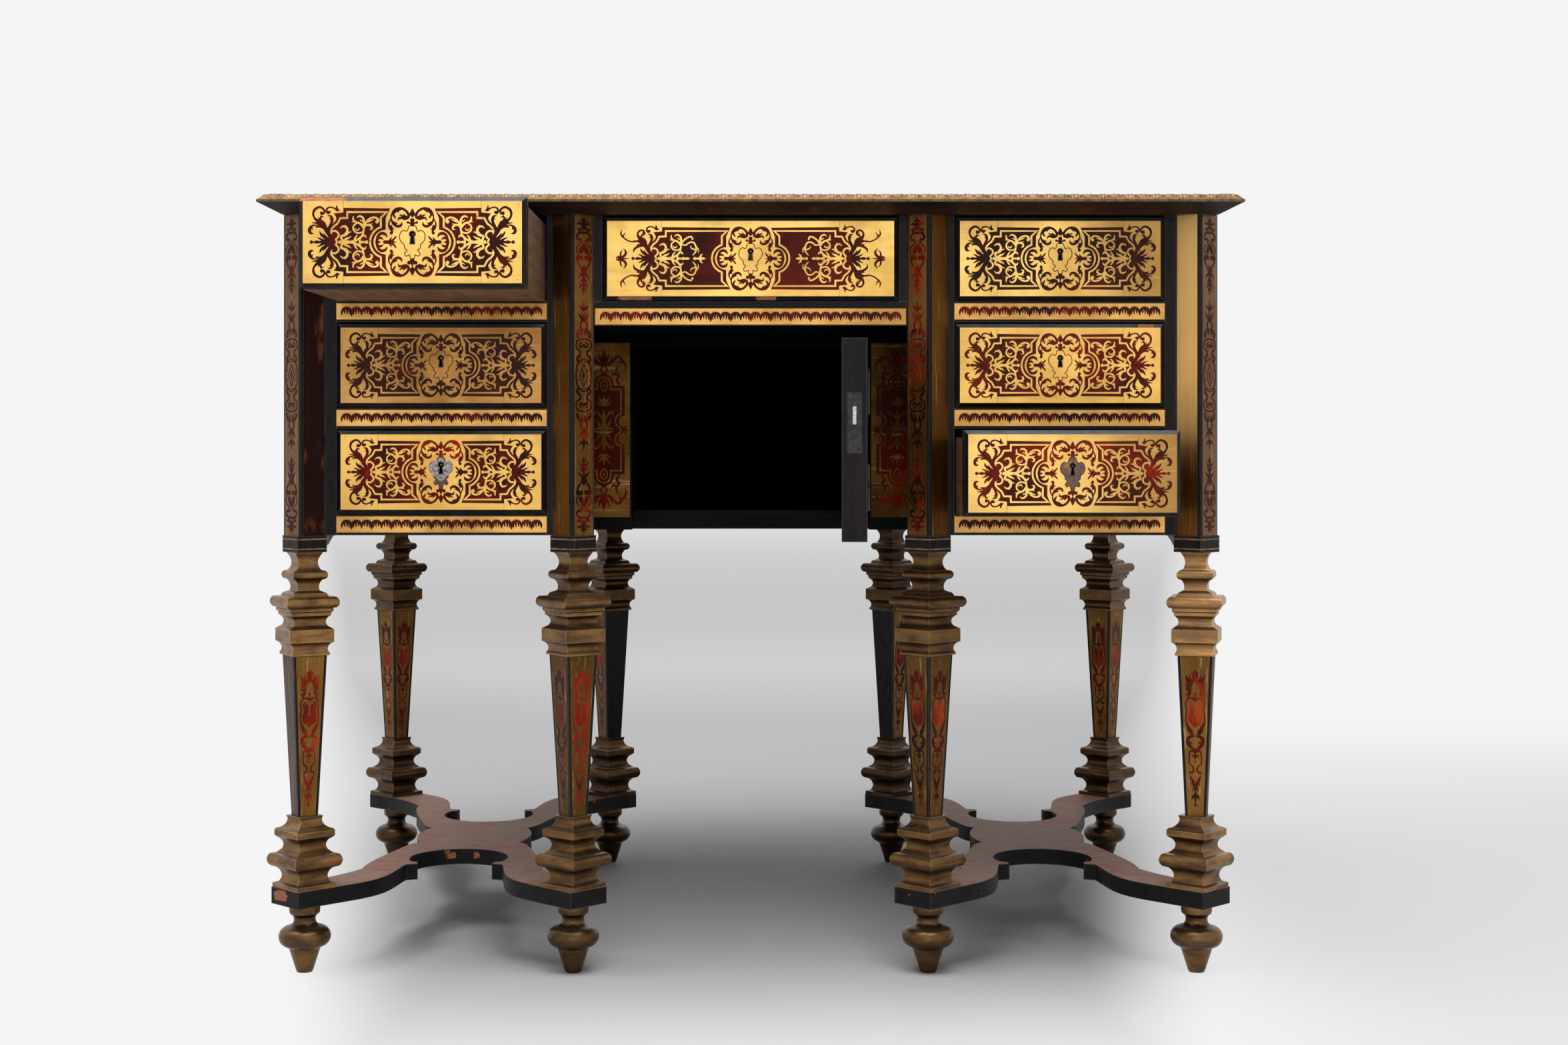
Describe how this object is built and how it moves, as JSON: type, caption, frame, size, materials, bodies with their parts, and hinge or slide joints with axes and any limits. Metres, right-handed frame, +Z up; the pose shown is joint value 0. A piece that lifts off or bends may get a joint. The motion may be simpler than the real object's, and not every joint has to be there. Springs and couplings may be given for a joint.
{
  "type": "bureau mazarin",
  "caption": "Kneehole writing desk with drawer pedestals, a recessed cupboard and square baluster legs on serpentine stretchers, veneered in brass marquetry.",
  "frame": {"origin": "on the floor, under the middle of the desk with its left top drawer standing open", "axes": "+X across the front to the right, +Y towards the back, +Z up"},
  "size_m": [0.99, 0.846, 0.79],
  "materials": {
    "marquetry_brass": "engraved brass sheet inlaid with red-backed shell, patinated",
    "brass_sheet": "plain rolled brass, patinated",
    "gilt_bronze": "cast and chased, dark in the hollows",
    "gilt_wood": "worn bronze gilding over brown bole",
    "stretcher_veneer": "dusty shell veneer with black edges",
    "walnut": "old oiled walnut",
    "ebonised_wood": "black stained pearwood, worn grey at the arrises",
    "iron": "old hand-filed iron"
  },
  "bodies": {
    "root": {"back_panels": "ebonised_wood", "back_posts": "ebonised_wood", "cupboard_case": "walnut", "cupboard_frame": "ebonised_wood", "drawer_runners": "walnut", "end_facings": "marquetry_brass", "feet": "gilt_wood", "flank_facings": "marquetry_brass", "front_posts": "ebonised_wood", "front_rails": "ebonised_wood", "front_stiles": "ebonised_wood", "hinge_leaves": "iron", "left_stretcher": "stretcher_veneer", "leg_collars": "ebonised_wood", "leg_shafts": "marquetry_brass", "lower_capitals": "gilt_wood", "pedestal_floors": "walnut", "pedestal_sides": "ebonised_wood", "post_brass_slips": "brass_sheet", "post_marquetry_slips": "marquetry_brass", "rail_strips": "marquetry_brass", "right_stretcher": "stretcher_veneer", "side_aprons": "ebonised_wood", "top_board": "ebonised_wood", "top_border": "gilt_bronze", "top_panel": "ebonised_wood", "top_veneer": "marquetry_brass", "upper_capitals": "gilt_wood"},
    "left_bottom_drawer": {"left_bottom_front": "ebonised_wood", "left_bottom_facing": "marquetry_brass", "left_bottom_lock": "iron", "left_bottom_box": "walnut"},
    "left_middle_drawer": {"left_middle_front": "ebonised_wood", "left_middle_facing": "marquetry_brass", "left_middle_lock": "iron", "left_middle_box": "walnut"},
    "left_top_drawer": {"left_top_front": "ebonised_wood", "left_top_facing": "marquetry_brass", "left_top_lock": "iron", "left_top_box": "walnut"},
    "right_bottom_drawer": {"right_bottom_front": "ebonised_wood", "right_bottom_facing": "marquetry_brass", "right_bottom_lock": "iron", "right_bottom_box": "walnut"},
    "right_middle_drawer": {"right_middle_front": "ebonised_wood", "right_middle_facing": "marquetry_brass", "right_middle_lock": "iron", "right_middle_box": "walnut"},
    "right_top_drawer": {"right_top_front": "ebonised_wood", "right_top_facing": "marquetry_brass", "right_top_lock": "iron", "right_top_box": "walnut"},
    "centre_drawer": {"centre_front": "ebonised_wood", "centre_facing": "marquetry_brass", "centre_lock": "iron", "centre_box": "walnut"},
    "door": {"door_panel": "ebonised_wood", "door_facing": "marquetry_brass", "door_lock": "iron", "door_hinge_wings": "iron"}
  },
  "joints": [
    {"name": "left_bottom_slide", "type": "slide", "parent": "root", "child": "left_bottom_drawer", "axis": [0, -1, 0], "range_m": [0, 0.4]},
    {"name": "left_middle_slide", "type": "slide", "parent": "root", "child": "left_middle_drawer", "axis": [0, -1, 0], "range_m": [0, 0.4]},
    {"name": "left_top_slide", "type": "slide", "parent": "root", "child": "left_top_drawer", "axis": [0, -1, 0], "range_m": [-0.195, 0.205]},
    {"name": "right_bottom_slide", "type": "slide", "parent": "root", "child": "right_bottom_drawer", "axis": [0, -1, 0], "range_m": [-0.089, 0.311]},
    {"name": "right_middle_slide", "type": "slide", "parent": "root", "child": "right_middle_drawer", "axis": [0, -1, 0], "range_m": [0, 0.4]},
    {"name": "right_top_slide", "type": "slide", "parent": "root", "child": "right_top_drawer", "axis": [0, -1, 0], "range_m": [0, 0.4]},
    {"name": "centre_slide", "type": "slide", "parent": "root", "child": "centre_drawer", "axis": [0, -1, 0], "range_m": [0, 0.4]},
    {"name": "door_hinge", "type": "hinge", "parent": "root", "child": "door", "pos_m": [0.1277, -0.0869, 0.545], "axis": [0, 0, 1], "range_deg": [-87.6, 8]}
  ]
}
